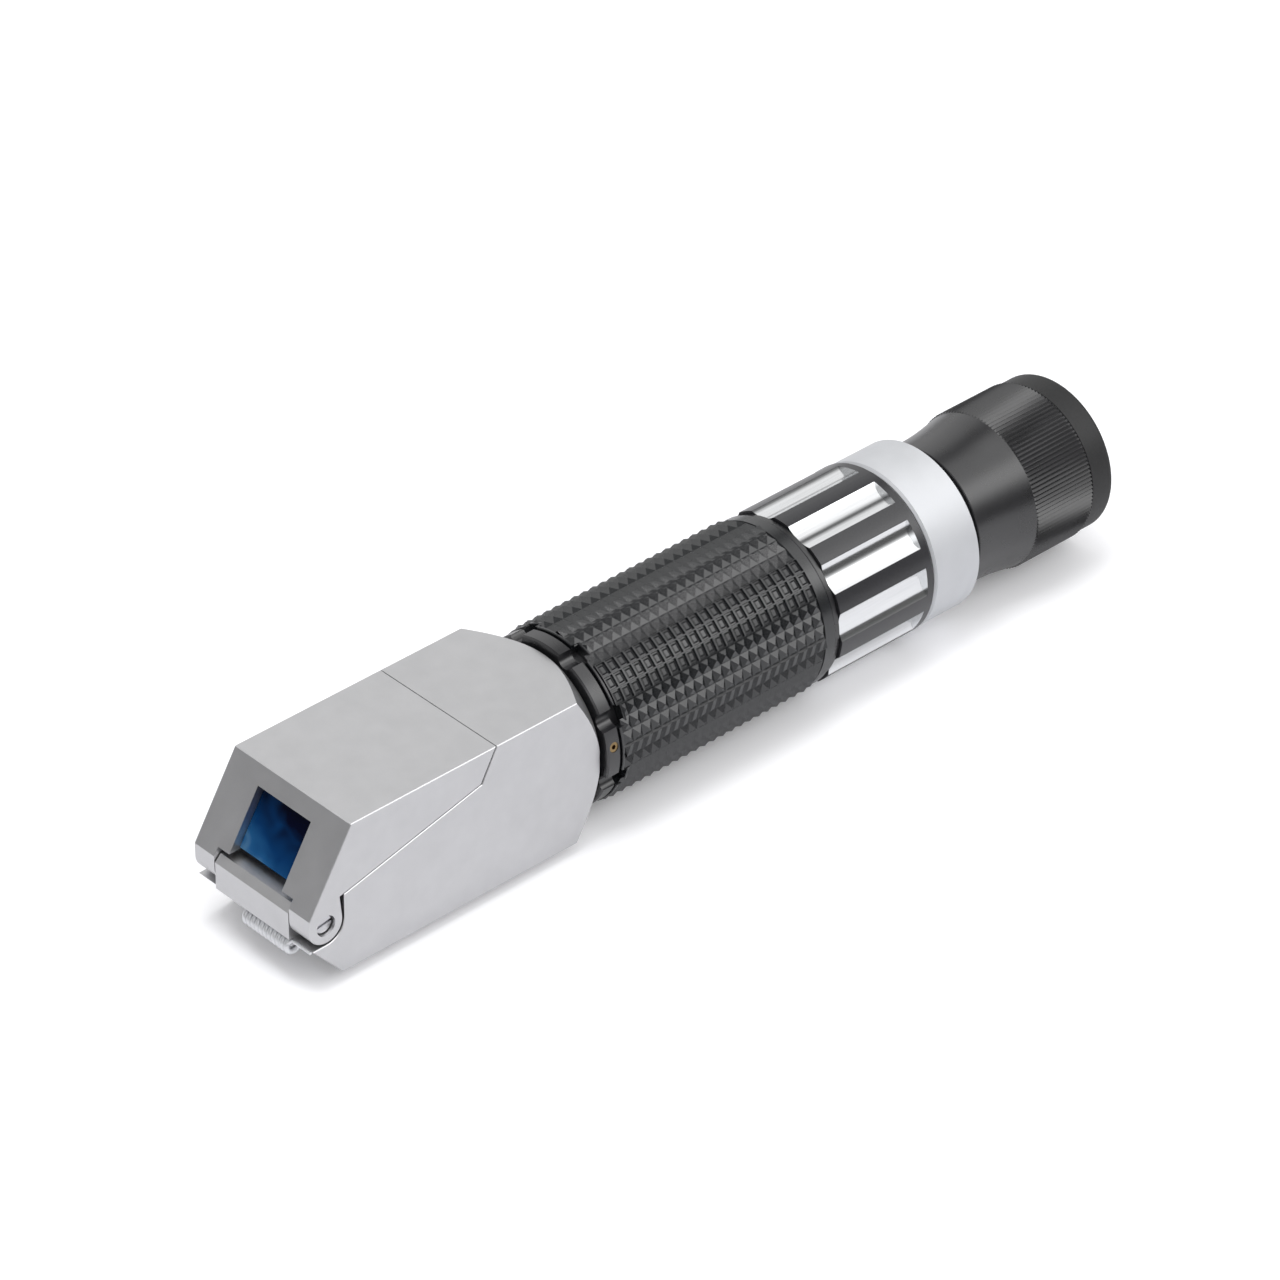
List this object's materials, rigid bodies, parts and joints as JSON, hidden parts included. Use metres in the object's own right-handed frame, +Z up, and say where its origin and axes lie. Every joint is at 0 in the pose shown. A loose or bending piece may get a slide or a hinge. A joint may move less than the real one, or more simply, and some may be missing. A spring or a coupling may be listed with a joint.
{
  "type": "hand-held optical refractometer",
  "caption": "Hand-held optical refractometer with a hinged prism flap, patterned rubber grip, fluted adjusting ring and turning eyepiece.",
  "frame": {"origin": "on the surface that the grip lies on, under the middle of the instrument's length", "axes": "+X runs along the optical axis from the prism head to the eyepiece, +Z is up, towards the side of the head that the flap opens from"},
  "size_m": [0.2062, 0.0364, 0.0364],
  "materials": {
    "satin_metal": "satin",
    "dark_glass": "polished",
    "optical_glass": "polished",
    "steel": "turned",
    "spring_steel": "bright",
    "black_metal": "satin black anodised",
    "brass": "turned",
    "grip_rubber": "moulded",
    "seal_rubber": "matte"
  },
  "bodies": {
    "barrel": {"prism_housing": "satin_metal", "measuring_prism": "optical_glass", "prism_seal": "seal_rubber", "hinge_screws": "steel", "flap_spring": "spring_steel", "barrel_tube": "black_metal", "barrel_o_ring": "seal_rubber", "locking_collar": "black_metal", "collar_grub_screw": "brass", "rubber_grip": "grip_rubber", "objective_cell": "black_metal", "objective_crown_lens": "optical_glass", "objective_flint_lens": "optical_glass", "objective_retainer": "black_metal", "reticle_cell": "black_metal", "reticle_disc": "optical_glass", "reticle_retainer": "black_metal", "eyepiece_mount": "satin_metal"},
    "prism_flap": {"prism_flap": "satin_metal", "window_glass": "dark_glass", "illuminating_prism": "optical_glass"},
    "compensator": {"adjusting_ring": "black_metal", "drive_pin": "steel", "compensator_cell": "black_metal", "compensator_prism": "optical_glass"},
    "focus_slide": {"lens_cell": "black_metal", "lens_retainer": "black_metal", "field_lens": "optical_glass", "lens_spacer": "black_metal", "eye_lens": "optical_glass"},
    "eyepiece": {"eyepiece_body": "black_metal", "eyecup": "seal_rubber"}
  },
  "joints": [
    {"name": "flap_hinge", "type": "hinge", "parent": "barrel", "child": "prism_flap", "pos_m": [-0.09917, 0, 0.01459], "axis": [0, -1, 0], "range_deg": [0, 90]},
    {"name": "adjusting_ring_turn", "type": "hinge", "parent": "barrel", "child": "compensator", "pos_m": [0.03993, 0, 0.01819], "axis": [1, 0, 0], "range_deg": [-60, 60]},
    {"name": "focus_travel", "type": "slide", "parent": "barrel", "child": "focus_slide", "axis": [1, 0, 0], "range_m": [-0.002, 0.002]},
    {"name": "eyepiece_turn", "type": "hinge", "parent": "focus_slide", "child": "eyepiece", "pos_m": [0.07712, 0, 0.01819], "axis": [1, 0, 0], "range_deg": [-240, 240]}
  ],
  "couplings": [
    {"joint": "focus_travel", "follows": "eyepiece_turn", "m_per_rad": 0.00047746}
  ]
}
